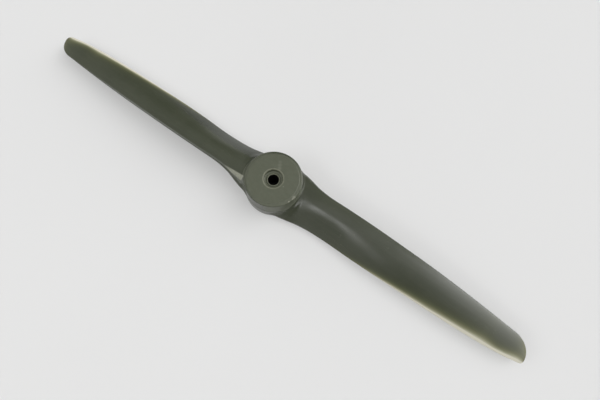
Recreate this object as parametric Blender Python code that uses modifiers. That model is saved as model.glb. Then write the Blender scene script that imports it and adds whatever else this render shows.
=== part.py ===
"""Two-blade model aircraft propeller, moulded in one piece, with a bushing in its hub.

Metres, +Z up. The shaft axis is Z and the hub's rear face rests on z = 0.
The right blade points along +X with its leading edge towards +Y.
"""

import math

import bmesh
import bpy

MM = 0.001

# Driving dimensions
DIAMETER = 406.4 * MM
BORE_DIAMETER = 7.94 * MM
HUB_THICKNESS = 19.6 * MM
HUB_FACE_RADIUS = 18.3 * MM
HUB_STEP = 0.2 * MM
HUB_TOP_RADIUS = 20.6 * MM
HUB_WIDEST_RADIUS = 21.3 * MM
HUB_REAR_RADIUS = 21.2 * MM
PARTING_HEIGHT = 9.8 * MM
RECESS_DIAMETER = 13.2 * MM
RECESS_DEPTH = 2.8 * MM
RECESS_LIP = 1.0 * MM
BUSHING_WALL = 1.0 * MM
BUSHING_GAP = 0.3 * MM
BUSHING_REAR_INSET = 0.6 * MM
BUSHING_CHAMFER = 0.3 * MM
EDGE_THICKNESS = 0.6 * MM
ROOT_EDGE_THICKNESS = 1.5 * MM

# The blade at a few radii, in millimetres: radius, then the leading edge's y and z,
# the trailing edge's y and z, and the greatest thickness of the section.
BLADE_STATIONS = (
    (11.0, 17.6, 12.4, -17.6, 3.2, 9.0),
    (20.0, 16.4, 14.7, -16.4, 3.1, 8.8),
    (30.0, 13.7, 16.9, -14.2, 3.0, 7.8),
    (40.0, 12.6, 17.9, -13.0, 3.5, 6.6),
    (55.0, 12.8, 18.3, -12.5, 4.0, 5.5),
    (75.0, 13.1, 18.0, -12.7, 5.4, 4.7),
    (100.0, 13.1, 17.0, -12.4, 6.4, 4.0),
    (125.0, 12.8, 15.8, -11.7, 6.8, 3.4),
    (150.0, 12.0, 14.0, -10.8, 7.0, 2.8),
    (172.0, 10.9, 12.3, -9.4, 7.0, 2.2),
    (189.0, 9.9, 10.9, -7.6, 7.1, 1.7),
    (203.2, 9.9, 10.1, -5.0, 7.2, 1.2),
)
BLADE_START = 8.0 * MM
TIP_START = 189.0 * MM
TIP_CORNER = 2.6 * MM
TIP_CHORD = 2.4 * MM
ROOT_CAMBER = 0.18
OUTER_CAMBER = 0.34
CAMBER_SETTLES = 100.0 * MM

BLADE_STEPS = 20
TIP_STEPS = 7
CHORD_STEPS = 13
TURN_STEPS = 64

BORE_RADIUS = BORE_DIAMETER / 2
BUSHING_RADIUS = BORE_RADIUS + BUSHING_WALL
HUB_BORE_RADIUS = BUSHING_RADIUS + BUSHING_GAP
RECESS_RADIUS = RECESS_DIAMETER / 2
RECESS_FLOOR = HUB_THICKNESS - RECESS_DEPTH
TIP_RADIUS = DIAMETER / 2
CUTTER_OVERRUN = 2.0 * MM


def clear_scene():
    for obj in list(bpy.data.objects):
        bpy.data.objects.remove(obj, do_unlink=True)


def new_collection(name):
    collection = bpy.data.collections.new(name)
    bpy.context.scene.collection.children.link(collection)
    return collection


def plastic(name, colour, roughness):
    """A moulded plastic in one plain colour."""
    material = bpy.data.materials.new(name)
    material.use_nodes = True
    shader = material.node_tree.nodes["Principled BSDF"]
    shader.inputs["Base Color"].default_value = (*colour, 1.0)
    shader.inputs["Roughness"].default_value = roughness
    shader.inputs["Metallic"].default_value = 0.0
    material.diffuse_color = (*colour, 1.0)
    return material


def station_value(column, radius):
    """One column of the blade table at any radius, as a smooth curve through its rows."""
    radii = [row[0] * MM for row in BLADE_STATIONS]
    values = [row[column] * MM for row in BLADE_STATIONS]
    last = len(radii) - 1
    radius = min(max(radius, radii[0]), radii[last])
    i = 0
    while i < last - 1 and radius > radii[i + 1]:
        i += 1

    def slope(k):
        low = max(k - 1, 0)
        high = min(k + 1, last)
        return (values[high] - values[low]) / (radii[high] - radii[low])

    width = radii[i + 1] - radii[i]
    t = (radius - radii[i]) / width
    start = (1 + 2 * t) * (1 - t) ** 2 * values[i] + t * (1 - t) ** 2 * width * slope(i)
    end = t * t * (3 - 2 * t) * values[i + 1] - t * t * (1 - t) * width * slope(i + 1)
    return start + end


def blade_edges(radius):
    """Leading and trailing edge points (y, z) of the blade, with the rounded tip worked in."""
    lead = [station_value(1, radius), station_value(2, radius)]
    trail = [station_value(3, radius), station_value(4, radius)]
    if radius > TIP_START:
        t = (radius - TIP_START) / (TIP_RADIUS - TIP_START)
        end = trail[0] + TIP_CORNER / 2 + TIP_CHORD / 2
        full = math.sqrt(max(1 - t * t, 0))
        kept = (end + (lead[0] - end) * full - trail[0]) / (lead[0] - trail[0])
        lead[0] = trail[0] + (lead[0] - trail[0]) * kept
        lead[1] = trail[1] + (lead[1] - trail[1]) * kept
    corner = radius - (TIP_RADIUS - TIP_CORNER)
    if corner > 0:
        inset = TIP_CORNER - math.sqrt(max(TIP_CORNER**2 - corner**2, 0))
        trail[0] += inset / 2
    return lead, trail


def edge_thickness(radius):
    """The trailing edge's own thickness, which grows towards the root."""
    t = min(max((radius - 22 * MM) / (40 * MM), 0.0), 1.0)
    settled = t * t * (3 - 2 * t)
    return ROOT_EDGE_THICKNESS + (EDGE_THICKNESS - ROOT_EDGE_THICKNESS) * settled


def section_shape(share):
    """Half thickness and camber at a share of the chord, both as parts of the greatest thickness."""
    half = 5 * (
        0.2969 * math.sqrt(share)
        - 0.1260 * share
        - 0.3516 * share**2
        + 0.2843 * share**3
        - 0.1036 * share**4
    )
    crest = 0.38
    if share < crest:
        camber = 2 * share / crest - (share / crest) ** 2
    else:
        rest = (share - crest) / (1 - crest)
        camber = 1 - rest * rest
    return half, camber


def blade_section(radius):
    """A closed ring of points across the blade: over the front from the trailing edge, back under the rear."""
    lead, trail = blade_edges(radius)
    thickness = station_value(5, radius)
    along = (trail[0] - lead[0], trail[1] - lead[1])
    chord = math.hypot(*along)
    thickness = min(thickness, 0.32 * chord + EDGE_THICKNESS)
    up = (along[1] / chord, -along[0] / chord)
    settled = min(radius / CAMBER_SETTLES, 1.0)
    camber_share = ROOT_CAMBER + (OUTER_CAMBER - ROOT_CAMBER) * settled
    edge = min(edge_thickness(radius) / 2, 0.2 * chord)
    shares = []
    for k in range(CHORD_STEPS + 1):
        shares.append((1 - math.cos(math.pi * k / CHORD_STEPS)) / 2)
    shares[CHORD_STEPS] = 1 - 0.5 * edge / chord

    def point(share, side):
        half, camber = section_shape(share)
        lift = camber * camber_share * thickness
        lift += side * (half * thickness + share * edge)
        y = lead[0] + along[0] * share + up[0] * lift
        z = lead[1] + along[1] * share + up[1] * lift
        return (radius, y, z)

    ring = [(radius, trail[0], trail[1])]
    for share in reversed(shares[1:]):
        ring.append(point(share, 1))
    ring.append((radius, lead[0], lead[1]))
    for share in shares[1:]:
        ring.append(point(share, -1))
    return ring


def blade_radii():
    """Where the sections stand: even over the blade, closer together round the tip."""
    radii = []
    for k in range(BLADE_STEPS):
        t = k / BLADE_STEPS
        radii.append(BLADE_START + (TIP_START - BLADE_START) * t**1.15)
    for k in range(TIP_STEPS + 1):
        turn = math.pi / 2 * k / TIP_STEPS
        radii.append(TIP_START + (TIP_RADIUS - TIP_START) * math.sin(turn))
    return radii


def loft_blade(name, side, collection):
    """One blade as a closed loft. Side is 1 for the +X blade, and -1 turns it half a turn."""
    mesh = bmesh.new()
    rings = []
    for radius in blade_radii():
        ring = []
        for x, y, z in blade_section(radius):
            ring.append(mesh.verts.new((side * x, side * y, z)))
        rings.append(ring)
    count = len(rings[0])
    for low, high in zip(rings, rings[1:]):
        for k in range(count):
            after = (k + 1) % count
            mesh.faces.new((low[k], high[k], high[after], low[after]))
    mesh.faces.new(rings[0])
    mesh.faces.new(list(reversed(rings[-1])))
    bmesh.ops.recalc_face_normals(mesh, faces=mesh.faces)
    data = bpy.data.meshes.new(name)
    mesh.to_mesh(data)
    mesh.free()
    obj = bpy.data.objects.new(name, data)
    collection.objects.link(obj)
    return obj


def turned(name, profile, collection):
    """A round solid about Z from its outline (radius, height), which runs from the top down its outer side."""
    data = bpy.data.meshes.new(name)
    points = [(radius, 0.0, height) for radius, height in profile]
    edges = [(k, k + 1) for k in range(len(points) - 1)]
    data.from_pydata(points, edges, [])
    obj = bpy.data.objects.new(name, data)
    collection.objects.link(obj)
    screw = obj.modifiers.new("Turn", "SCREW")
    screw.steps = TURN_STEPS
    screw.render_steps = TURN_STEPS
    screw.use_merge_vertices = True
    screw.merge_threshold = 0.00001
    screw.use_smooth_shade = True
    return obj


def corner_arc(centre, radius, start, end, steps):
    """Points round an arc in the profile's plane, from one angle in degrees to another."""
    points = []
    for k in range(steps + 1):
        angle = math.radians(start + (end - start) * k / steps)
        x = centre[0] + radius * math.cos(angle)
        z = centre[1] + radius * math.sin(angle)
        points.append((x, z))
    return points


def hub_profile():
    """Front face, a small step round it, the rounded shoulder, then the wall, widest at its parting line."""
    face_round = 0.15 * MM
    step_round = 0.15 * MM
    step_run = 0.2 * MM
    shoulder_round = 0.9 * MM
    rear_round = 0.7 * MM
    shoulder = HUB_THICKNESS - HUB_STEP
    face = (HUB_FACE_RADIUS - face_round, HUB_THICKNESS - face_round)
    step = (HUB_FACE_RADIUS + step_run, shoulder + step_round)
    top = (HUB_TOP_RADIUS - shoulder_round, shoulder - 0.05 * MM - shoulder_round)
    profile = [(0.0, HUB_THICKNESS)]
    profile += corner_arc(face, face_round, 90, 40, 2)
    profile += corner_arc(step, step_round, 220, 266, 2)
    profile += corner_arc(top, shoulder_round, 86, 2, 5)
    profile.append((HUB_WIDEST_RADIUS, PARTING_HEIGHT))
    rear = (HUB_REAR_RADIUS - rear_round, rear_round)
    profile += corner_arc(rear, rear_round, -2, -90, 4)
    profile.append((0.0, 0.0))
    return profile


def bore_profile():
    """What is cut from the hub: the bushing's hole and the recess at the front, with its worn, rounded lip."""
    top = HUB_THICKNESS + CUTTER_OVERRUN
    lip = RECESS_RADIUS + RECESS_LIP
    profile = [(0.0, top), (lip + 0.35 * MM, top)]
    profile += corner_arc((lip, HUB_THICKNESS - RECESS_LIP), RECESS_LIP, 80, 180, 5)
    profile.append((RECESS_RADIUS - 0.1 * MM, RECESS_FLOOR))
    profile.append((HUB_BORE_RADIUS, RECESS_FLOOR))
    profile.append((HUB_BORE_RADIUS, -CUTTER_OVERRUN))
    profile.append((0.0, -CUTTER_OVERRUN))
    return profile


def combine(obj, other, operation):
    """A Boolean left on the object, which joins or cuts the other one."""
    step = obj.modifiers.new(other.name, "BOOLEAN")
    step.operation = operation
    step.solver = "EXACT"
    step.object = other
    other.hide_render = True
    other.display_type = "WIRE"


def make_solid(obj, material, angle):
    """Keeps the result of the modifiers as the object's own mesh, shaded smooth between sharp edges."""
    graph = bpy.context.evaluated_depsgraph_get()
    mesh = bpy.data.meshes.new_from_object(obj.evaluated_get(graph))
    obj.modifiers.clear()
    obj.data = mesh
    mesh.name = obj.name
    mesh.materials.clear()
    mesh.materials.append(material)
    mesh.shade_smooth()
    mesh.set_sharp_from_angle(angle=math.radians(angle))


def make_moulding(collection, helpers):
    """The hub and both blades, which the real one has as a single moulding."""
    moulding = turned("propeller_moulding", hub_profile(), collection)
    for name, side in (("blade_right", 1), ("blade_left", -1)):
        combine(moulding, loft_blade(name, side, helpers), "UNION")
    combine(moulding, turned("bore_cutter", bore_profile(), helpers), "DIFFERENCE")
    make_solid(moulding, plastic("moulded_nylon", (0.055, 0.062, 0.037), 0.34), 32)
    return moulding


def make_bushing(collection, helpers):
    """The sleeve in the hub's bore, with a chamfer at each end."""
    top = RECESS_FLOOR + 0.25 * MM
    low = BUSHING_REAR_INSET
    outline = [
        (0.0, top),
        (BUSHING_RADIUS - BUSHING_CHAMFER, top),
        (BUSHING_RADIUS, top - BUSHING_CHAMFER),
        (BUSHING_RADIUS, low + BUSHING_CHAMFER),
        (BUSHING_RADIUS - BUSHING_CHAMFER, low),
        (0.0, low),
    ]
    bushing = turned("shaft_bushing", outline, collection)
    over = CUTTER_OVERRUN
    hole = [(0.0, top + over), (BORE_RADIUS, top + over), (BORE_RADIUS, low - over), (0.0, low - over)]
    combine(bushing, turned("shaft_cutter", hole, helpers), "DIFFERENCE")
    make_solid(bushing, plastic("bushing_plastic", (0.075, 0.082, 0.052), 0.42), 30)
    return bushing


def main():
    clear_scene()
    collection = new_collection("model_aircraft_propeller")
    helpers = new_collection("cutters")
    make_moulding(collection, helpers)
    make_bushing(collection, helpers)


main()
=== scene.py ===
"""The looks of a moulded two-blade model aircraft propeller that lies on a pale table.

Lengths are in millimetres until a mesh is made. The shaft axis is Z, the hub's rear face is on
z = 0, and the right blade points along +X with its leading edge towards +Y.
"""

import math

import bmesh
import bpy
import numpy as np
from mathutils import Matrix, Vector


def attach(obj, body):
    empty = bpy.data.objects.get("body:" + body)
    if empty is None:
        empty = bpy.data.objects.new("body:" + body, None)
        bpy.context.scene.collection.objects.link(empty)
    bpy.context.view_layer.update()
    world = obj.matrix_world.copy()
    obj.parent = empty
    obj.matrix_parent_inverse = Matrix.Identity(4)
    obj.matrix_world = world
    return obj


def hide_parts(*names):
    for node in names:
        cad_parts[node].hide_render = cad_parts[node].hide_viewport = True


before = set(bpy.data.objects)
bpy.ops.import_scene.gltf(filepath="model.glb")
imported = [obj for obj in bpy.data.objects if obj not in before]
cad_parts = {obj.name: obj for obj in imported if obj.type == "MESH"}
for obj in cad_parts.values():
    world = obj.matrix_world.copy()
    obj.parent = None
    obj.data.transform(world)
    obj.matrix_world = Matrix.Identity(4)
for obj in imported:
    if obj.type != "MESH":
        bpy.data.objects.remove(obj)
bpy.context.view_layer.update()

MM = 0.001

# Sizes of the part, in millimetres
TIP_RADIUS = 203.2
HUB_THICKNESS = 19.6
HUB_FACE_RADIUS = 18.3
HUB_STEP = 0.2
HUB_TOP_RADIUS = 20.6
HUB_WIDEST_RADIUS = 21.3
HUB_REAR_RADIUS = 21.2
HUB_BORE_RADIUS = 5.03
PARTING_HEIGHT = 9.8
PARTING_BEAD = 0.1
RECESS_RADIUS = 6.6
RECESS_DEPTH = 2.8
RECESS_LIP = 1.0
RECESS_FLOOR = HUB_THICKNESS - RECESS_DEPTH
BORE_RADIUS = 3.97
BUSHING_RADIUS = 4.97
BUSHING_TOP = RECESS_FLOOR + 0.3
BUSHING_REAR_INSET = 0.6

# Roundings of the edges, in millimetres
FACE_ROUNDING = 0.15
SHOULDER_ROUNDING = 0.9
SHOULDER_FALL = 0.06
REAR_ROUNDING = 0.7
RECESS_ROUNDING = 0.3
BUSHING_ROUNDING = 0.25
BORE_CHAMFER = 0.2

# Radius, leading edge y and z, trailing edge y and z, greatest thickness
STATIONS = np.array([
    (11.0, 17.6, 12.4, -17.6, 3.2, 9.0),
    (20.0, 16.4, 14.7, -16.4, 3.1, 8.8),
    (30.0, 13.7, 16.9, -14.2, 3.0, 7.8),
    (40.0, 12.6, 17.9, -13.0, 3.5, 6.6),
    (55.0, 12.8, 18.3, -12.5, 4.0, 5.5),
    (75.0, 13.1, 18.0, -12.7, 5.4, 4.7),
    (100.0, 13.1, 17.0, -12.4, 6.4, 4.0),
    (125.0, 12.8, 15.8, -11.7, 6.8, 3.4),
    (150.0, 12.0, 14.0, -10.8, 7.0, 2.8),
    (172.0, 10.9, 12.3, -9.4, 7.0, 2.2),
    (189.0, 9.9, 10.9, -7.6, 7.1, 1.7),
    (203.2, 9.9, 10.1, -5.0, 7.2, 1.2),
])
TIP_START = 189.0
TIP_CORNER = 2.6
TIP_CHORD = 2.4
TIP_CLOSES = 0.7
CREST = 0.38
ROOT_CAMBER = 0.18
OUTER_CAMBER = 0.34
CAMBER_SETTLES = 100.0
EDGE_THICKNESS = 0.55
ROOT_EDGE_THICKNESS = 1.5
THICKEST_SHARE = 0.32
NO_THIN_SPOT = 10.0

# How the blade roots run into the hub
BLADE_BEGINS = 6.0
SECTION_REACH = 26
CREASE = 0.4
ROOT_FILLET = 2.8
OUTER_FILLET = 2.2
FRONT_FILL = 1.2

# Mesh fineness
CHORD_STEPS = 36
TURNS = 320
BUSHING_TURNS = 160
LOFT_START = 32.6
LOFT_STEP = 1.35
TIP_STEPS = 22
SHARP_ANGLE = 38

# Colours of the plastic, with painted light, painted shade and painted highlights on it
OLIVE_DARK = (0.036, 0.042, 0.0225)
OLIVE = (0.042, 0.048, 0.0275)
OLIVE_PALE = (0.052, 0.058, 0.036)
FACE_DARK = (0.066, 0.074, 0.044)
FACE_PALE = (0.078, 0.087, 0.054)
RUBBED = (0.15, 0.155, 0.105)
WEAR_AND_HIGHLIGHT = (0.24, 0.245, 0.19)
RECESS_PAINTED_LIGHT = (0.105, 0.115, 0.075)
WALL_PAINTED_LIGHT = (0.095, 0.104, 0.068)
LEFT_ROOT_PAINTED_SHADE = (0.019, 0.024, 0.012)
BORE_PAINTED_SHADE = (0.006, 0.006, 0.005)
THIN_EDGE_LIGHT_TINT = (0.34, 0.34, 0.12)
THIN_EDGE_LIGHT = (0.63, 0.61, 0.50)
THIN_FROM = 0.5

# Gloss and relief of the plastic, the relief in millimetres
NYLON_IOR = 1.6
GLOSSY = 0.20
SATIN = 0.27
DULL_PATCH = 0.268
FACE_DULLER = 0.28
WALL_DULLER = 0.2
LIP_DULLER = 0.1
CLOUD_RELIEF = 0.12
FLOW_RELIEF = 0.03
GRAIN_RELIEF = 0.006
BUSHING_RELIEF = 0.02

# Small pale spots on the hub and the right root, partly rubbed nicks and partly painted highlights: place,
# radius, soft edge and strength
NICK_AND_HIGHLIGHT_SPOTS = [
    ((20.0, -2.7, 19.1), 0.8, 1.1, 0.55),
    ((19.6, -4.2, 19.1), 0.3, 0.4, 0.6),
    ((18.6, -7.1, 19.1), 0.4, 0.4, 0.7),
    ((21.1, 9.7, 16.5), 0.4, 0.5, 0.35),
    ((22.3, 9.0, 16.5), 0.4, 0.5, 0.3),
    ((22.1, 14.1, 16.5), 0.4, 0.6, 0.25),
    ((-3.3, 12.7, 19.6), 0.5, 1.3, 0.16),
    ((-2.2, 10.7, 19.6), 0.6, 1.3, 0.2),
    ((-1.0, 8.7, 19.6), 0.5, 1.3, 0.2),
    ((9.2, -0.7, 19.6), 0.2, 0.3, 0.5),
]

# The camera: angles in degrees, lengths in millimetres, places in the picture in pixels from its middle
CAMERA_SPIN = 35.83
CAMERA_TIP = 17.16
CAMERA_ROLL = 1.1
CAMERA_DEPTH = 351.1
CAMERA_AIM = Vector((0, 0, 15.5))
AIM_RIGHT = -26.49
AIM_UP = 19.49
FOCAL_PIXELS = 500.0
PICTURE_PIXELS = 600.0
SENSOR_WIDTH = 36.0

# The table and the lamp
TABLE_REACH = 6.0
TABLE_GAP = 0.02
PAPER_DARK = (0.45, 0.45, 0.446)
PAPER_PALE = (0.477, 0.477, 0.473)
UNDER_HUB_PAINTED_SHADE = (0.004, 0.004, 0.004)
PAPER_GLOW = 0.265
LAMP_AIM = Vector((35, 0, 14))
LAMP_DISTANCE = 2000
LAMP_SIZE = (0.60, 0.40)
LAMP_RADIANCE = 2.4


def smooth_step(x, low, high):
    t = np.clip((x - low) / (high - low), 0.0, 1.0)
    return t * t * (3 - 2 * t)


def station_columns(radius):
    """The blade table's five columns at these radii, as smooth curves through its rows."""
    radii = STATIONS[:, 0]
    values = STATIONS[:, 1:]
    last = len(radii) - 1
    low = np.maximum(np.arange(last + 1) - 1, 0)
    high = np.minimum(np.arange(last + 1) + 1, last)
    slopes = (values[high] - values[low]) / (radii[high] - radii[low])[:, None]
    r = np.clip(radius, radii[0], radii[-1])
    i = np.clip(np.searchsorted(radii, r, side="left") - 1, 0, last - 1)
    width = (radii[i + 1] - radii[i])[:, None]
    t = ((r - radii[i])[:, None]) / width
    start = (1 + 2 * t) * (1 - t) ** 2 * values[i] + t * (1 - t) ** 2 * width * slopes[i]
    end = t * t * (3 - 2 * t) * values[i + 1] - t * t * (1 - t) * width * slopes[i + 1]
    return (start + end).T


def blade_edges(radius):
    """Leading and trailing edge points (y, z) and the greatest thickness, rounded tip included."""
    lead_y, lead_z, trail_y, trail_z, thick = station_columns(radius)
    t = np.clip((radius - TIP_START) / (TIP_RADIUS - TIP_START), 0.0, 1.0)
    end = trail_y + TIP_CORNER / 2 + TIP_CHORD / 2
    full = np.sqrt(1 - t * t)
    kept = np.where(t > 0, (end + (lead_y - end) * full - trail_y) / (lead_y - trail_y), 1.0)
    lead_y = trail_y + (lead_y - trail_y) * kept
    lead_z = trail_z + (lead_z - trail_z) * kept
    corner = np.clip(radius - (TIP_RADIUS - TIP_CORNER), 0.0, TIP_CORNER)
    trail_y = trail_y + (TIP_CORNER - np.sqrt(TIP_CORNER**2 - corner**2)) / 2
    return lead_y, lead_z, trail_y, trail_z, thick


def edge_thickness(radius, chord):
    """The trailing edge's half thickness, which is greater at the root."""
    root = 1 - smooth_step(radius, 22, 62)
    edge = EDGE_THICKNESS / 2 + (ROOT_EDGE_THICKNESS - EDGE_THICKNESS) / 2 * root
    return np.minimum(edge, 0.2 * chord)


def camber_line(share):
    """The height of the section's middle line, one at its crest."""
    front = 2 * share / CREST - (share / CREST) ** 2
    rest = (share - CREST) / (1 - CREST)
    return np.where(share < CREST, front, 1 - rest**2)


def blade_points(radius, share, side):
    """Points (y, z) on the section at each radius, at each share of the chord. Also the local thickness,
    which stays full towards the leading edge because the nose is round."""
    lead_y, lead_z, trail_y, trail_z, thick = (v[:, None] for v in blade_edges(radius))
    r = radius[:, None]
    along_y = trail_y - lead_y
    along_z = trail_z - lead_z
    chord = np.hypot(along_y, along_z)
    thick = np.minimum(thick, THICKEST_SHARE * chord + EDGE_THICKNESS)
    closing = np.clip((r - (TIP_RADIUS - TIP_CLOSES)) / TIP_CLOSES, 0.0, 0.995)
    closing = np.sqrt(1 - closing**2)
    settled = np.minimum(r / CAMBER_SETTLES, 1.0)
    camber_share = ROOT_CAMBER + (OUTER_CAMBER - ROOT_CAMBER) * settled
    edge = edge_thickness(r, chord)
    s = share[None, :]
    half = 5 * (0.2969 * np.sqrt(s) - 0.1260 * s - 0.3516 * s**2 + 0.2843 * s**3 - 0.1036 * s**4)
    rounding = np.clip((s - (1 - edge / chord)) / (edge / chord), 0.0, 1.0)
    body = (half * thick + s * edge * np.sqrt(1 - rounding**2)) * closing
    lift = camber_line(s) * camber_share * thick + side[None, :] * body
    y = lead_y + along_y * s + along_z / chord * lift
    z = lead_z + along_z * s - along_y / chord * lift
    depth = 2 * (np.where(s < 0.3, 0.5, half) * thick + s * edge)
    return y, z, depth


def ring_shares():
    """Shares of the chord and sides round a section: over the front to the leading edge, back under
    the rear."""
    down = (1 - np.cos(np.pi * np.arange(CHORD_STEPS + 1) / CHORD_STEPS)) / 2
    share = np.concatenate([down[::-1], down[1:-1]])
    side = np.concatenate([np.ones(CHORD_STEPS + 1), -np.ones(CHORD_STEPS - 1)])
    return share, side


SHARES, SIDES = ring_shares()


def polygon_distance(points, ring):
    """Distance from points (n, 2) to closed rings (n or 1, m, 2), negative inside."""
    a = ring
    b = np.roll(ring, -1, axis=1)
    e = b - a
    w = points[:, None, :] - a
    along = np.clip((w * e).sum(-1) / np.maximum((e * e).sum(-1), 1e-12), 0.0, 1.0)
    off = w - along[..., None] * e
    nearest = np.sqrt((off * off).sum(-1).min(1))
    level = points[:, None, 1]
    crosses = (a[..., 1] <= level) != (b[..., 1] <= level)
    rise = np.where(e[..., 1] == 0, 1.0, e[..., 1])
    at = a[..., 0] + (level - a[..., 1]) / rise * e[..., 0]
    inside = (crosses & (points[:, None, 0] < at)).sum(1) % 2 == 1
    return np.where(inside, -nearest, nearest)


def arc(centre, radius, start, end, steps):
    angles = np.radians(np.linspace(start, end, steps + 1))
    return [(centre[0] + radius * math.cos(a), centre[1] + radius * math.sin(a)) for a in angles]


def hub_outline():
    """The hub's outer outline (radius, height), from the front face down to the rear one."""
    small = FACE_ROUNDING
    edge = SHOULDER_ROUNDING
    rear = REAR_ROUNDING
    shoulder = HUB_THICKNESS - HUB_STEP
    bead = HUB_WIDEST_RADIUS + PARTING_BEAD
    line = [(0.0, HUB_THICKNESS)]
    line += arc((HUB_FACE_RADIUS - small, HUB_THICKNESS - small), small, 90, 40, 3)
    line += arc((HUB_FACE_RADIUS + 0.2, shoulder + small), small, 220, 266, 3)
    line += arc((HUB_TOP_RADIUS - edge, shoulder - edge - SHOULDER_FALL), edge, 86, 2, 12)
    line += [(HUB_WIDEST_RADIUS, PARTING_HEIGHT + 0.15), (bead, PARTING_HEIGHT + 0.05)]
    line += [(bead, PARTING_HEIGHT - 0.05), (HUB_WIDEST_RADIUS, PARTING_HEIGHT - 0.15)]
    line += arc((HUB_REAR_RADIUS - rear, rear), rear, -2, -90, 8)
    line.append((0.0, 0.0))
    return np.array(line)


HUB_OUTLINE = hub_outline()


def solid_field(points):
    """Roughly the distance to the moulding's surface, negative inside, with filleted blade roots.

    It is the same after half a turn about the shaft, so every point is first turned to x >= 0."""
    turn = np.where(points[:, 0] < 0, -1.0, 1.0)
    x = points[:, 0] * turn
    y = points[:, 1] * turn
    z = points[:, 2]
    radius = np.hypot(x, y)
    hub = np.empty(len(x))
    blade = np.empty(len(x))
    for first in range(0, len(x), 6000):
        part = slice(first, first + 6000)
        hub[part] = polygon_distance(np.stack([radius[part], z[part]], 1), HUB_OUTLINE[None])
        near = np.abs(y[part]) < SECTION_REACH
        value = np.abs(y[part]) - 17.5
        if near.any():
            ys, zs, _ = blade_points(x[part][near], SHARES, SIDES)
            ring = np.stack([ys, zs], -1)
            value[near] = polygon_distance(np.stack([y[part][near], z[part][near]], 1), ring)
        blade[part] = np.maximum(value, BLADE_BEGINS - x[part])
    filled = FRONT_FILL * smooth_step(-y, 0.0, 8.0) * smooth_step(z, 3.0, 8.0) * smooth_step(x, 6.0, 12.0)
    blend = CREASE + (ROOT_FILLET + filled) * smooth_step(radius, 19.8, 22.0)
    blend += OUTER_FILLET * smooth_step(radius, 22.0, 25.0)
    h = np.clip(0.5 + 0.5 * (hub - blade) / blend, 0.0, 1.0)
    return hub + (blade - hub) * h - blend * h * (1 - h)


def field_slope(points, value):
    step = 0.004
    slope = np.empty_like(points)
    for axis in range(3):
        moved = points.copy()
        moved[:, axis] += step
        slope[:, axis] = (solid_field(moved) - value) / step
    return slope


def settle(points, rounds=3):
    """Moves points onto the surface where the field is zero."""
    for _ in range(rounds):
        value = solid_field(points)
        slope = field_slope(points, value)
        size = np.maximum((slope * slope).sum(1), 0.2)
        points = points - np.clip(value / size, -0.4, 0.4)[:, None] * slope
    return points


def spaced(*stretches):
    """Grid lines: each stretch is (start, end, step)."""
    lines = []
    for start, end, step in stretches:
        count = max(1, round((end - start) / step))
        lines += list(np.linspace(start, end, count, endpoint=False))
    lines.append(stretches[-1][1])
    return np.array(lines)


# The round grid on which the hub's outside is found, finer at its edges and at the parting line
GRID_ANGLES = np.arange(TURNS) * 2 * np.pi / TURNS - np.pi / 2
GRID_RADII = spaced((11.5, 17.8, 0.9), (17.8, 18.8, 0.1), (18.8, 21.5, 0.16), (21.5, 23.0, 0.24),
                    (23.0, LOFT_START - 0.6, 0.4))
GRID_HEIGHTS = spaced((-0.5, 1.5, 0.16), (1.5, 9.4, 0.4), (9.4, 10.2, 0.1), (10.2, 17.0, 0.38),
                      (17.0, 19.9, 0.13))


def grid_field():
    """The field on the grid. Half a turn is worked out, and the other half is the same."""
    a, r, z = np.meshgrid(GRID_ANGLES[:TURNS // 2], GRID_RADII, GRID_HEIGHTS, indexing="ij")
    flat = np.stack([(r * np.cos(a)).ravel(), (r * np.sin(a)).ravel(), z.ravel()], 1)
    value = solid_field(flat).reshape(a.shape)
    return np.concatenate([value, value], 0)


def surface_cells(inside):
    """Which grid cells have corners on both sides of the surface."""
    shape = (TURNS, len(GRID_RADII) - 1, len(GRID_HEIGHTS) - 1)
    corners = np.zeros(shape, int)
    for ring in (inside, np.roll(inside, -1, 0)):
        for j in (0, 1):
            for k in (0, 1):
                corners += ring[:, j:shape[1] + j, k:shape[2] + k]
    return (corners > 0) & (corners < 8)


def cell_points(value, cells):
    """One point in each cell: the mean of the places where the cell's edges cross the surface."""
    spin = 2 * np.pi / TURNS
    turn, out, up = cells.T

    def corner(i, j, k):
        place = np.stack([GRID_ANGLES[turn] + i * spin, GRID_RADII[out + j], GRID_HEIGHTS[up + k]], 1)
        return place, value[(turn + i) % TURNS, out + j, up + k]

    total = np.zeros((len(cells), 3))
    count = np.zeros(len(cells))
    for low in [(i, j, k) for i in (0, 1) for j in (0, 1) for k in (0, 1)]:
        for axis in range(3):
            if low[axis]:
                continue
            high = list(low)
            high[axis] = 1
            p0, v0 = corner(*low)
            p1, v1 = corner(*high)
            cut = (v0 < 0) != (v1 < 0)
            share = np.where(cut, v0 / np.where(cut, v0 - v1, 1.0), 0.0)
            total += np.where(cut[:, None], p0 + (p1 - p0) * share[:, None], 0.0)
            count += cut
    mid = total / count[:, None]
    return np.stack([mid[:, 1] * np.cos(mid[:, 0]), mid[:, 1] * np.sin(mid[:, 0]), mid[:, 2]], 1)


def edge_faces(index, crossing, around, flip):
    """A face for each grid edge that crosses the surface, between the four cells round that edge."""
    at = np.argwhere(crossing)
    quads = []
    for shift in around:
        cell = at + np.array(shift)
        quads.append(index[cell[:, 0] % TURNS, cell[:, 1], cell[:, 2]])
    quads = np.stack(quads, 1)
    whole = (quads >= 0).all(1)
    turned = flip[tuple(at.T)]
    quads = np.where(turned[:, None], quads[:, ::-1], quads)
    return quads[whole]


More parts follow.
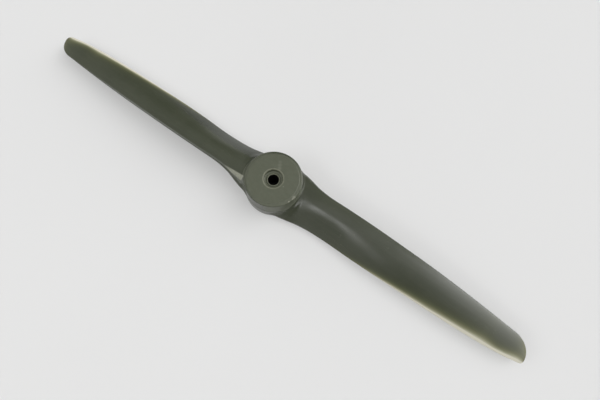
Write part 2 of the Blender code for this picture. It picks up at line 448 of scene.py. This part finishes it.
def grid_faces(index, inside):
    """The faces for the grid's edges in its three directions. The grid's rims stay open."""
    about = np.zeros(inside.shape, bool)
    about[:, 1:-1, 1:-1] = (inside != np.roll(inside, -1, 0))[:, 1:-1, 1:-1]
    outwards = np.zeros(inside.shape, bool)
    outwards[:, :-1, 1:-1] = (inside[:, :-1] != inside[:, 1:])[:, :, 1:-1]
    upwards = np.zeros(inside.shape, bool)
    upwards[:, 1:-1, :-1] = (inside[:, :, :-1] != inside[:, :, 1:])[:, 1:-1]
    return np.concatenate([
        edge_faces(index, about, ((0, -1, -1), (0, 0, -1), (0, 0, 0), (0, -1, 0)), inside),
        edge_faces(index, outwards, ((-1, 0, -1), (-1, 0, 0), (0, 0, 0), (0, 0, -1)), inside),
        edge_faces(index, upwards, ((-1, -1, 0), (0, -1, 0), (0, 0, 0), (-1, 0, 0)), inside),
    ])


def hub_mesh():
    """The hub's outside and the blade roots. Returns points, faces and the open loops round the middle
    of the front and the rear face."""
    value = grid_field()
    inside = value < 0
    active = surface_cells(inside)
    cells = np.argwhere(active)
    index = np.full(active.shape, -1)
    index[tuple(cells.T)] = np.arange(len(cells))
    points = settle(cell_points(value, cells))
    front_loop = []
    rear_loop = []
    for column in index[:, 0]:
        ids = column[column >= 0]
        front_loop.append(int(ids[np.argmax(points[ids, 2])]))
        rear_loop.append(int(ids[np.argmin(points[ids, 2])]))
    return points, grid_faces(index, inside), front_loop, rear_loop


def outer_loops(points, faces):
    """The two open edges where the blades go on, each as a list of points in order."""
    used = set()
    for quad in faces.tolist():
        used.update(zip(quad, quad[1:] + quad[:1]))
    following = {}
    for quad in faces.tolist():
        for a, b in zip(quad, quad[1:] + quad[:1]):
            if (b, a) not in used and np.hypot(*points[a, :2]) > 25:
                following[a] = b
    loops = []
    while following:
        start = next(iter(following))
        loop = [start]
        at = following.pop(start)
        while at != start:
            loop.append(at)
            at = following.pop(at)
        loops.append(loop)
    return loops


def blade_rings():
    """Rings of points along the right blade, from just outside the hub grid to the tip."""
    count = round((TIP_START - LOFT_START) / LOFT_STEP)
    radii = list(np.linspace(LOFT_START, TIP_START, count, endpoint=False))
    for k in range(TIP_STEPS + 1):
        radii.append(TIP_START + (TIP_RADIUS - TIP_START) * math.sin(np.pi / 2 * k / TIP_STEPS))
    rings = []
    for r in radii:
        bend = 1 - smooth_step(np.array([r]), LOFT_START, 70.0)[0]
        x = np.full(len(SHARES), r)
        for _ in range(4):
            y, z, thick = (np.diagonal(v) for v in blade_points(x, SHARES, SIDES))
            x = r - bend * (r - np.sqrt(np.maximum(r * r - y * y, 1.0)))
        rings.append((np.stack([x, y, z], 1), np.array(thick)))
    return rings


def zip_loops(loop_a, points_a, loop_b, points_b):
    """Triangles between two closed loops that run the same way round."""
    start = int(np.argmin(((points_a - points_b[0]) ** 2).sum(1)))
    na = len(loop_a)
    nb = len(loop_b)
    i = 0
    j = 0
    faces = []
    while i < na or j < nb:
        a0 = (start + i) % na
        a1 = (start + i + 1) % na
        b0 = j % nb
        b1 = (j + 1) % nb
        step_a = ((points_a[a1] - points_b[b0]) ** 2).sum() if i < na else 1e9
        step_b = ((points_a[a0] - points_b[b1]) ** 2).sum() if j < nb else 1e9
        if step_a <= step_b:
            faces.append((loop_a[a0], loop_a[a1], loop_b[b0]))
            i += 1
        else:
            faces.append((loop_a[a0], loop_b[b1], loop_b[b0]))
            j += 1
    return faces


def loop_area(points):
    y = points[:, 1]
    z = points[:, 2]
    return float((y * np.roll(z, -1) - np.roll(y, -1) * z).sum() / 2)


def add_ring(points, ring):
    """Adds a ring to the points and returns the numbers of its points."""
    first = len(points)
    points += [tuple(p) for p in ring]
    return list(range(first, len(points)))


def join_rings(before, now):
    m = len(now)
    return [(before[k], before[(k + 1) % m], now[(k + 1) % m], now[k]) for k in range(m)]


def circle(radius, height, angles):
    return [(radius * math.cos(a), radius * math.sin(a), height) for a in angles]


def centre_outline():
    """The middle of the hub (radius, height): front face, worn lip, recess, bore and rear face."""
    inset = RECESS_ROUNDING
    chamfer = BORE_CHAMFER
    line = [(10.6, HUB_THICKNESS), (9.4, HUB_THICKNESS), (8.4, HUB_THICKNESS)]
    line += arc((RECESS_RADIUS + RECESS_LIP, HUB_THICKNESS - RECESS_LIP), RECESS_LIP, 88, 180, 9)
    line += arc((RECESS_RADIUS - 0.1 - inset, RECESS_FLOOR + inset), inset, 0, -90, 3)
    line += [(HUB_BORE_RADIUS + chamfer, RECESS_FLOOR), (HUB_BORE_RADIUS, RECESS_FLOOR - chamfer)]
    line += [(HUB_BORE_RADIUS, RECESS_FLOOR * 0.5), (HUB_BORE_RADIUS, 0.5), (HUB_BORE_RADIUS + 0.35, 0.1)]
    line += [(HUB_BORE_RADIUS + 0.5, 0.0), (8.0, 0.0), (10.6, 0.0)]
    return line


def face_outwards(mesh):
    work = bmesh.new()
    work.from_mesh(mesh)
    bmesh.ops.recalc_face_normals(work, faces=work.faces)
    open_edges = sum(1 for e in work.edges if len(e.link_faces) != 2)
    print(mesh.name, "faces", len(work.faces), "open edges", open_edges)
    work.to_mesh(mesh)
    work.free()


def make_object(name, points, faces, material, values=None):
    """A smooth object. The values are the plastic's thickness at each point, in millimetres."""
    mesh = bpy.data.meshes.new(name)
    mesh.from_pydata([tuple(p * MM) for p in np.asarray(points)], [], faces)
    mesh.validate()
    if values is not None:
        layer = mesh.attributes.new("thickness", "FLOAT", "POINT")
        layer.data.foreach_set("value", np.asarray(values, np.float32))
    mesh.materials.append(material)
    mesh.shade_smooth()
    mesh.set_sharp_from_angle(angle=math.radians(SHARP_ANGLE))
    obj = bpy.data.objects.new(name, mesh)
    bpy.context.scene.collection.objects.link(obj)
    face_outwards(mesh)
    return obj


def add_blade(points, values, faces, loop, rings):
    """Goes on from one of the hub's open edges to the blade's tip."""
    spots = np.array([points[i] for i in loop])
    side = 1.0 if spots[:, 0].mean() > 0 else -1.0
    turn = np.array([side, side, 1.0])
    local = spots * turn
    if loop_area(local) < 0:
        loop = loop[::-1]
        local = local[::-1]
    order = 1 if loop_area(rings[0][0]) > 0 else -1
    before = None
    for ring, thick in rings:
        ring = ring[::order]
        now = add_ring(points, ring * turn)
        values += list(thick[::order])
        if before is None:
            faces += zip_loops(loop, local, now, ring)
        else:
            faces += join_rings(before, now)
        before = now
    faces.append(tuple(before))


def add_middle(points, faces, front_loop, rear_loop):
    """Joins the open loops round the middle of the hub's faces through the recess and the bore."""
    spin = np.arctan2([points[i][1] for i in front_loop], [points[i][0] for i in front_loop])
    before = front_loop
    for radius, height in centre_outline():
        now = add_ring(points, circle(radius, height, spin))
        faces += join_rings(before, now)
        before = now
    faces += join_rings(before, rear_loop)


def make_moulding(material):
    points, quads, front_loop, rear_loop = hub_mesh()
    loops = outer_loops(points, quads)
    points = [tuple(p) for p in points]
    faces = [tuple(q) for q in quads.tolist()]
    values = [NO_THIN_SPOT] * len(points)
    rings = blade_rings()
    for loop in loops:
        add_blade(points, values, faces, loop, rings)
    add_middle(points, faces, front_loop, rear_loop)
    values += [NO_THIN_SPOT] * (len(points) - len(values))
    return make_object("propeller_moulding_look", points, faces, material, values)


def make_bushing(material):
    edge = BUSHING_ROUNDING
    chamfer = BORE_CHAMFER
    top = BUSHING_TOP
    low = BUSHING_REAR_INSET
    half = RECESS_FLOOR * 0.5
    line = [(BORE_RADIUS, top - edge)] + arc((BORE_RADIUS + edge, top - edge), edge, 170, 90, 4)
    line += arc((BUSHING_RADIUS - edge, top - edge), edge, 90, 0, 4)
    line += [(BUSHING_RADIUS, half), (BUSHING_RADIUS, low + chamfer), (BUSHING_RADIUS - chamfer, low)]
    line += [(BORE_RADIUS + chamfer, low), (BORE_RADIUS, low + chamfer), (BORE_RADIUS, half)]
    angles = np.arange(BUSHING_TURNS) * 2 * np.pi / BUSHING_TURNS
    points = []
    rings = [add_ring(points, circle(radius, height, angles)) for radius, height in line]
    faces = []
    for before, now in zip(rings, rings[1:] + rings[:1]):
        faces += join_rings(before, now)
    return make_object("shaft_bushing_look", points, faces, material)


class Recipe:
    """Procedural shading in the making. A material's lengths are millimetres in the part's own frame."""

    def __init__(self, owner, shader="Principled BSDF", coords="Object", scale=1000.0):
        owner.use_nodes = True
        self.owner = owner
        self.nodes = owner.node_tree.nodes
        self.links = owner.node_tree.links
        self.shader = self.nodes[shader]
        source = self.nodes.new("ShaderNodeTexCoord")
        self.place = self.vector("SCALE", source.outputs[coords], scale=scale)

    def feed(self, socket, value):
        if isinstance(value, bpy.types.NodeSocket):
            self.links.new(value, socket)
        elif isinstance(value, tuple) and len(value) == 3 and len(socket.default_value) == 4:
            socket.default_value = (*value, 1.0)
        else:
            socket.default_value = value

    def vector(self, operation, a, b=None, scale=None):
        node = self.nodes.new("ShaderNodeVectorMath")
        node.operation = operation
        self.feed(node.inputs[0], a)
        if b is not None:
            self.feed(node.inputs[1], b)
        if scale is not None:
            node.inputs["Scale"].default_value = scale
        single = operation in ("DISTANCE", "DOT_PRODUCT")
        return node.outputs["Value"] if single else node.outputs["Vector"]

    def math(self, operation, a, b=0.0):
        node = self.nodes.new("ShaderNodeMath")
        node.operation = operation
        self.feed(node.inputs[0], a)
        self.feed(node.inputs[1], b)
        return node.outputs["Value"]

    def plus(self, first, *others):
        for value in others:
            first = self.math("ADD", first, value)
        return first

    def less(self, first, *others):
        for value in others:
            first = self.math("SUBTRACT", first, value)
        return first

    def times(self, first, *others):
        for value in others:
            first = self.math("MULTIPLY", first, value)
        return first

    def most(self, first, *others):
        for value in others:
            first = self.math("MAXIMUM", first, value)
        return first

    def remap(self, value, low, high, out_low=0.0, out_high=1.0, smooth=True):
        node = self.nodes.new("ShaderNodeMapRange")
        node.interpolation_type = "SMOOTHSTEP" if smooth else "LINEAR"
        for socket, v in zip(node.inputs, (value, low, high, out_low, out_high)):
            self.feed(socket, v)
        return node.outputs["Result"]

    def noise(self, scale, detail=2.0, roughness=0.5, vector=None, distortion=0.0):
        node = self.nodes.new("ShaderNodeTexNoise")
        self.feed(node.inputs["Vector"], vector or self.place)
        self.feed(node.inputs["Scale"], scale)
        self.feed(node.inputs["Detail"], detail)
        self.feed(node.inputs["Roughness"], roughness)
        self.feed(node.inputs["Distortion"], distortion)
        return node.outputs["Fac"]

    def mix(self, share, a, b):
        node = self.nodes.new("ShaderNodeMix")
        node.data_type = "RGBA"
        sockets = [x for x in node.inputs if x.type == "RGBA"]
        self.feed(node.inputs["Factor"], share)
        self.feed(sockets[0], a)
        self.feed(sockets[1], b)
        return next(x for x in node.outputs if x.type == "RGBA")

    def parts(self):
        """The place's x, y and z."""
        node = self.nodes.new("ShaderNodeSeparateXYZ")
        self.feed(node.inputs["Vector"], self.place)
        return node.outputs["X"], node.outputs["Y"], node.outputs["Z"]

    def attribute(self, name):
        node = self.nodes.new("ShaderNodeAttribute")
        node.attribute_name = name
        return node.outputs["Fac"]

    def distance(self, centre):
        return self.vector("DISTANCE", self.place, tuple(centre))

    def along(self, direction):
        return self.vector("DOT_PRODUCT", self.place, tuple(direction))

    def radius(self, x=0.0, y=0.0):
        """Distance from an upright axis."""
        flat = self.vector("MULTIPLY", self.place, (1.0, 1.0, 0.0))
        return self.vector("DISTANCE", flat, (x, y, 0.0))

    def band(self, value, centre, half, soft):
        """One in a band round a centre value, zero outside it."""
        off = self.math("ABSOLUTE", self.less(value, centre))
        return self.remap(off, half, half + soft, 1.0, 0.0)

    def spot(self, centre, radius, soft):
        """One within a distance of a point, zero farther off."""
        return self.remap(self.distance(centre), radius, radius + soft, 1.0, 0.0)

    def above(self, z, low, high):
        """Zero below one depth under the hub's front face, one above another."""
        return self.remap(z, HUB_THICKNESS - low, HUB_THICKNESS - high)

    def bump(self, height, depth, normal=None):
        """Height from 0 to 1 as a relief of this depth in millimetres."""
        node = self.nodes.new("ShaderNodeBump")
        node.inputs["Strength"].default_value = 1.0
        node.inputs["Distance"].default_value = depth * MM
        self.feed(node.inputs["Height"], height)
        if normal is not None:
            self.feed(node.inputs["Normal"], normal)
        return node.outputs["Normal"]


def wear_and_highlight_marks(r, x, y, z, radius):
    """Where the plastic is painted bright: a painted highlight on the left root's leading edge, rubbed
    nicks mixed with painted highlight spots, a scuff, and painted highlights on the hub's edges."""
    patchy = r.noise(0.7, 3.0, 0.65)
    top = r.plus(y, r.times(r.plus(x, 19.5), -0.09))
    low = r.plus(y, r.times(r.plus(x, 18.8), 0.12))
    # Painted highlight along the nose of the left root's leading edge
    marks = r.times(r.remap(x, -36.5, -27.0), r.remap(x, -17.6, -18.8), r.remap(top, -9.9, -10.5),
                    r.remap(low, -14.4, -13.4), r.remap(patchy, 0.25, 0.6, 0.7, 1.0))
    for centre, size, soft, strength in NICK_AND_HIGHLIGHT_SPOTS:
        marks = r.most(marks, r.times(r.spot(centre, size, soft), strength))
    # Painted highlights: a broken line along the face's step, and a band on the shoulder's rounding on the
    # right
    edge = r.times(r.band(radius, 18.25, 0.05, 0.14), r.above(z, 0.2, 0.1),
                   r.remap(patchy, 0.42, 0.62, 0.0, 0.2))
    rim_highlight = r.times(r.band(radius, 20.0, 0.2, 0.3), r.above(z, 2.0, 1.0),
                  r.remap(x, 11.5, 14.0), r.remap(y, 8.0, 11.0), 0.12)
    return r.most(marks, edge, rim_highlight)


def light_through(r, x, flow):
    """How much light the thin edges let through, from 0 to 1. The share falls off with the thickness
    and grows towards the tips."""
    reach = r.math("ABSOLUTE", x)
    decay = r.times(r.remap(x, -150.0, 150.0, 0.31, 0.38), r.remap(reach, 172.0, 186.0, 1.0, 0.72),
                    r.remap(reach, 190.0, 202.0, 1.0, 1.25))
    depth = r.most(r.less(r.attribute("thickness"), THIN_FROM), 0.0)
    clear = r.math("EXPONENT", r.math("DIVIDE", r.times(depth, -1.0), decay))
    clear = r.times(clear, r.remap(reach, 60.0, 165.0, 0.1, 3.7), r.remap(flow, 0.2, 0.8, 0.85, 1.1))
    return r.math("MINIMUM", clear, 1.0)


def fine_scratches(r):
    stretched = r.vector("MULTIPLY", r.place, (0.35, 1.5, 1.5))
    lines = r.band(r.noise(0.16, 2.0, 0.5, stretched, 1.2), 0.5, 0.0006, 0.0016)
    return r.times(lines, r.remap(r.noise(0.05, 2.0, 0.5), 0.5, 0.62))


def nylon():
    """Olive glass-filled nylon: satin, mottled, streaked along the blades, rubbed pale in places, with the
    light through its thin edges painted in as a paler colour, and with painted highlights, painted light
    and painted shade near the hub."""
    r = Recipe(bpy.data.materials.new("moulded_nylon_look"))
    x, y, z = r.parts()
    radius = r.radius()
    cloud = r.noise(0.045, 3.0, 0.55)
    mottle = r.noise(0.42, 4.0, 0.6)
    flow = r.noise(0.55, 3.0, 0.6, r.vector("MULTIPLY", r.place, (0.07, 0.8, 0.8)), 0.4)
    grain = r.noise(3.2, 2.0, 0.5)

    # Where the hub's dull face, its duller wall with painted light, the left root's painted shade, the
    # recess's painted light and the rubbed lip are
    # The face's paler colour reaches out over the shoulder, farther on one side: painted light lifting the
    # shoulder's shade
    ragged = r.plus(r.radius(1.15, -0.4), r.remap(r.noise(0.6, 3.0, 0.6), 0.2, 0.8, -0.35, 0.35))
    face = r.times(r.above(z, 1.5, 1.0), r.remap(ragged, 20.3, 19.1))
    # Painted light on the hub's wall beside the blade roots, lifting the shade in the crevice there; the
    # wall is also duller
    right_wall_light = r.times(r.remap(x, 4.0, 11.0), r.remap(y, 8.0, 4.0))
    wall_light = r.times(r.most(right_wall_light, r.remap(x, -10.0, -17.0, 0.0, 0.5)),
                   r.remap(radius, 22.4, 21.4), r.remap(z, 7.0, 12.0), r.less(1.0, face))
    # Painted shade: a darker colour on the left root's trailing side, standing in for shade there
    left_root_shade = r.times(r.remap(x, -110.0, -72.0), r.remap(x, -18.0, -24.0), r.remap(y, 3.0, 8.0), 0.95)
    # Painted light in the recess, lifting the shade on its floor
    recess_light = r.times(r.remap(radius, 6.8, 6.5), r.remap(z, RECESS_FLOOR - 0.4, RECESS_FLOOR - 0.1))
    lip = r.times(r.band(radius, 7.22, 0.28, 0.35), r.above(z, 1.4, 0.8),
                  r.remap(r.noise(0.5, 3.0, 0.6), 0.32, 0.6, 0.55, 1.0))

    colour = r.mix(r.remap(cloud, 0.3, 0.7), OLIVE_DARK, OLIVE)
    colour = r.mix(r.remap(flow, 0.45, 0.8, 0.0, 0.35), colour, OLIVE_PALE)
    colour = r.mix(r.remap(mottle, 0.55, 0.8, 0.0, 0.3), colour, OLIVE_PALE)
    colour = r.mix(face, colour, r.mix(r.remap(mottle, 0.3, 0.75), FACE_DARK, FACE_PALE))
    colour = r.mix(wall_light, colour, WALL_PAINTED_LIGHT)
    colour = r.mix(left_root_shade, colour, LEFT_ROOT_PAINTED_SHADE)
    colour = r.mix(recess_light, colour, RECESS_PAINTED_LIGHT)
    colour = r.mix(lip, colour, RUBBED)
    colour = r.mix(wear_and_highlight_marks(r, x, y, z, radius), colour, WEAR_AND_HIGHLIGHT)
    # Light through the thin edges, painted into the colour as a pale olive glow
    clear = light_through(r, x, flow)
    colour = r.mix(clear, colour, r.mix(clear, THIN_EDGE_LIGHT_TINT, THIN_EDGE_LIGHT))
    colour = r.mix(r.times(fine_scratches(r), 0.35), colour, RUBBED)
    r.feed(r.shader.inputs["Base Color"], colour)

    rough = r.remap(mottle, 0.3, 0.75, GLOSSY, SATIN, False)
    dull = r.band(x, 73.0, 6.0, 10.0)
    rough = r.plus(rough, r.times(dull, r.less(DULL_PATCH, rough)))
    rough = r.plus(rough, r.times(face, FACE_DULLER), r.times(lip, LIP_DULLER), r.times(wall_light, WALL_DULLER))
    r.feed(r.shader.inputs["Roughness"], rough)
    r.shader.inputs["IOR"].default_value = NYLON_IOR
    normal = r.bump(cloud, CLOUD_RELIEF)
    normal = r.bump(flow, FLOW_RELIEF, normal)
    normal = r.bump(grain, GRAIN_RELIEF, normal)
    r.feed(r.shader.inputs["Normal"], normal)
    return r.owner


def bushing_plastic():
    """The bushing: the same plastic, painted black inside as the bore's shade, paler on its top edge, with
    the recess's painted light in patches.
    """
    r = Recipe(bpy.data.materials.new("bushing_plastic_look"))
    z = r.parts()[2]
    radius = r.radius()
    stain = r.noise(0.9, 3.0, 0.6)
    edge = r.times(r.band(radius, 4.25, 0.15, 0.2), r.remap(z, BUSHING_TOP - 0.4, BUSHING_TOP - 0.1),
                   r.remap(stain, 0.3, 0.6, 0.5, 1.0))
    # Painted shade: black inside the bore
    inside = r.times(r.remap(radius, 4.06, 4.0), r.remap(z, BUSHING_TOP - 0.1, BUSHING_TOP - 0.4))
    colour = r.mix(edge, r.mix(stain, OLIVE, RECESS_PAINTED_LIGHT), RUBBED)
    r.feed(r.shader.inputs["Base Color"], r.mix(inside, colour, BORE_PAINTED_SHADE))
    r.feed(r.shader.inputs["Roughness"], r.remap(stain, 0.3, 0.7, 0.36, 0.5, False))
    r.feed(r.shader.inputs["Normal"], r.bump(r.noise(2.5, 3.0, 0.6), BUSHING_RELIEF))
    return r.owner


def table_paper():
    """The table's pale sheet, which glows a little so that shadows stay light. Under the hub it is painted
    dark as shade and does not glow.
    """
    r = Recipe(bpy.data.materials.new("table_top"))
    # Painted shade under the hub, seen through the bore
    bare = r.remap(r.radius(), 17.0, 20.0)
    paper = r.mix(r.noise(0.004, 2.0, 0.5), PAPER_DARK, PAPER_PALE)
    r.feed(r.shader.inputs["Base Color"], r.mix(bare, UNDER_HUB_PAINTED_SHADE, paper))
    r.feed(r.shader.inputs["Roughness"], 0.7)
    r.feed(r.shader.inputs["Emission Color"], r.mix(bare, (0.0, 0.0, 0.0), (1.0, 1.0, 0.995)))
    r.shader.inputs["Emission Strength"].default_value = PAPER_GLOW
    return r.owner


def towards(across, ahead, rise=None):
    """A direction from how far it points to the picture's right and to its top, above the table unless
    its rise is given."""
    spin = math.radians(CAMERA_SPIN)
    x = across * math.cos(spin) - ahead * math.sin(spin)
    y = across * math.sin(spin) + ahead * math.cos(spin)
    if rise is None:
        rise = math.sqrt(max(0.0, 1 - across**2 - ahead**2))
    return Vector((x, y, rise))


def make_camera():
    """The camera of the photo: over the table, tipped from straight down towards the picture's top."""
    tip = math.radians(CAMERA_TIP)
    roll = math.radians(CAMERA_ROLL)
    down = Vector((0, 0, -1))
    lean = towards(math.sin(roll), math.cos(roll), 0.0)
    side = down.cross(lean)
    look = lean * math.sin(tip) + down * math.cos(tip)
    rise = lean * math.cos(tip) - down * math.sin(tip)
    right = side * math.cos(roll) + rise * math.sin(roll)
    up = rise * math.cos(roll) - side * math.sin(roll)
    pixel = CAMERA_DEPTH / FOCAL_PIXELS
    place = CAMERA_AIM - right * (AIM_RIGHT * pixel) - up * (AIM_UP * pixel) - look * CAMERA_DEPTH
    data = bpy.data.cameras.new("photo_camera")
    data.sensor_width = SENSOR_WIDTH
    data.lens = SENSOR_WIDTH * FOCAL_PIXELS / PICTURE_PIXELS
    data.clip_start = 0.01
    data.clip_end = 20.0
    camera = bpy.data.objects.new("photo_camera", data)
    bpy.context.scene.collection.objects.link(camera)
    turn = Matrix((right, up, -look)).transposed()
    camera.matrix_world = Matrix.Translation(place * MM) @ turn.to_4x4()
    bpy.context.scene.camera = camera


def make_lamp():
    """A soft lamp on the left. Its size is a share of its distance."""
    direction = towards(-0.80, -0.12)
    data = bpy.data.lights.new("side_light", "AREA")
    data.shape = "RECTANGLE"
    data.size = LAMP_SIZE[0] * LAMP_DISTANCE * MM
    data.size_y = LAMP_SIZE[1] * LAMP_DISTANCE * MM
    data.energy = LAMP_RADIANCE * math.pi * data.size * data.size_y
    lamp = bpy.data.objects.new("side_light", data)
    lamp.location = (LAMP_AIM + direction * LAMP_DISTANCE) * MM
    lamp.rotation_mode = "QUATERNION"
    lamp.rotation_quaternion = (-direction).to_track_quat("-Z", "Y")
    bpy.context.scene.collection.objects.link(lamp)


def make_room():
    """The room's soft light: dim overhead, brighter low down, with a wide window glow to the right that
    grows towards the picture's top, and a small one at the lower left."""
    world = bpy.data.worlds.new("room")
    bpy.context.scene.world = world
    r = Recipe(world, "Background", "Generated", 1.0)
    z = r.parts()[2]
    top = r.along(towards(0.0, 1.0, 0.0))
    side = r.along(towards(1.0, 0.0, 0.0))

    # The window glow, which runs away from the camera at a slant
    away = r.less(r.along(towards(0.489, 0.872, 0.0)), 0.222)
    right = r.less(r.along(towards(0.872, -0.489, 0.0)), 0.151, r.remap(away, -0.1, 0.3, 0.0, 0.1))
    glow = r.times(r.remap(right, -0.05, 0.15), r.remap(right, 0.25, 0.75, 1.0, 0.0),
                   r.remap(away, -0.76, 0.56, 0.0, 4.6, False), r.remap(away, 0.5, 0.75, 1.0, 0.0),
                   r.remap(z, 0.0, 0.1), r.remap(top, -0.66, -0.48))

    # The small glow and the wide faint one
    small = r.remap(r.distance(towards(-0.52, -0.53)), 0.03, 0.16, 4.8, 0.0)
    wide = r.remap(r.distance(towards(-0.12, -0.34)), 0.12, 0.5, 0.32, 0.0)

    # The rest of the room, darker behind the photographer and behind the picture's top
    base = r.plus(r.remap(z, 0.0, 0.12, 0.65, 0.585, False), r.remap(z, 0.12, 1.0, 0.0, -0.08, False))
    shade = r.times(r.remap(top, -0.54, -0.70), r.remap(side, -0.58, -0.40), 0.36)
    base = r.less(base, shade, r.remap(top, 0.62, 0.88, 0.0, 0.19), r.remap(top, 0.88, 0.97, 0.0, 0.24))
    r.shader.inputs["Color"].default_value = (0.995, 0.995, 1.0, 1.0)
    r.feed(r.shader.inputs["Strength"], r.plus(base, wide, glow, small))


def make_table():
    mesh = bpy.data.meshes.new("table")
    s = TABLE_REACH
    mesh.from_pydata([(-s, -s, 0), (s, -s, 0), (s, s, 0), (-s, s, 0)], [], [(0, 1, 2, 3)])
    mesh.materials.append(table_paper())
    table = bpy.data.objects.new("table", mesh)
    table.location.z = -TABLE_GAP * MM
    bpy.context.scene.collection.objects.link(table)


make_table()
make_room()
make_lamp()
make_camera()
moulding = make_moulding(nylon())
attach(moulding, "root")
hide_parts("propeller_moulding")
bushing = make_bushing(bushing_plastic())
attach(bushing, "root")
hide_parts("shaft_bushing")

bpy.context.scene.view_settings.view_transform = "Standard"
